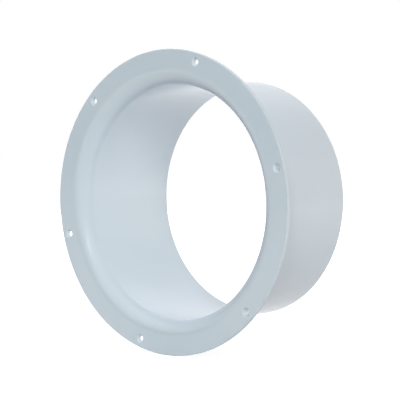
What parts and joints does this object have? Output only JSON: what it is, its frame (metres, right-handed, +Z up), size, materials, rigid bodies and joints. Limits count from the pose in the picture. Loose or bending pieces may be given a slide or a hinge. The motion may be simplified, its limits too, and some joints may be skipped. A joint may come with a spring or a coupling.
{
  "type": "duct wall flange",
  "caption": "Round plastic duct wall flange: a flat screw-on flange with a rounded bell-mouth lip into a straight spigot that a round duct slides over.",
  "frame": {"origin": "on the airway's axis, at the centre of the screw circle, in the plane of the flange's back that seats on the wall", "axes": "+Y along the airway from the flange to the spigot's open end, +Z up, +X to the right of someone who faces the front face"},
  "size_m": [0.188, 0.08, 0.188],
  "materials": {
    "moulding": "gloss"
  },
  "bodies": {
    "root": {"duct_wall_flange": "moulding"}
  },
  "joints": []
}
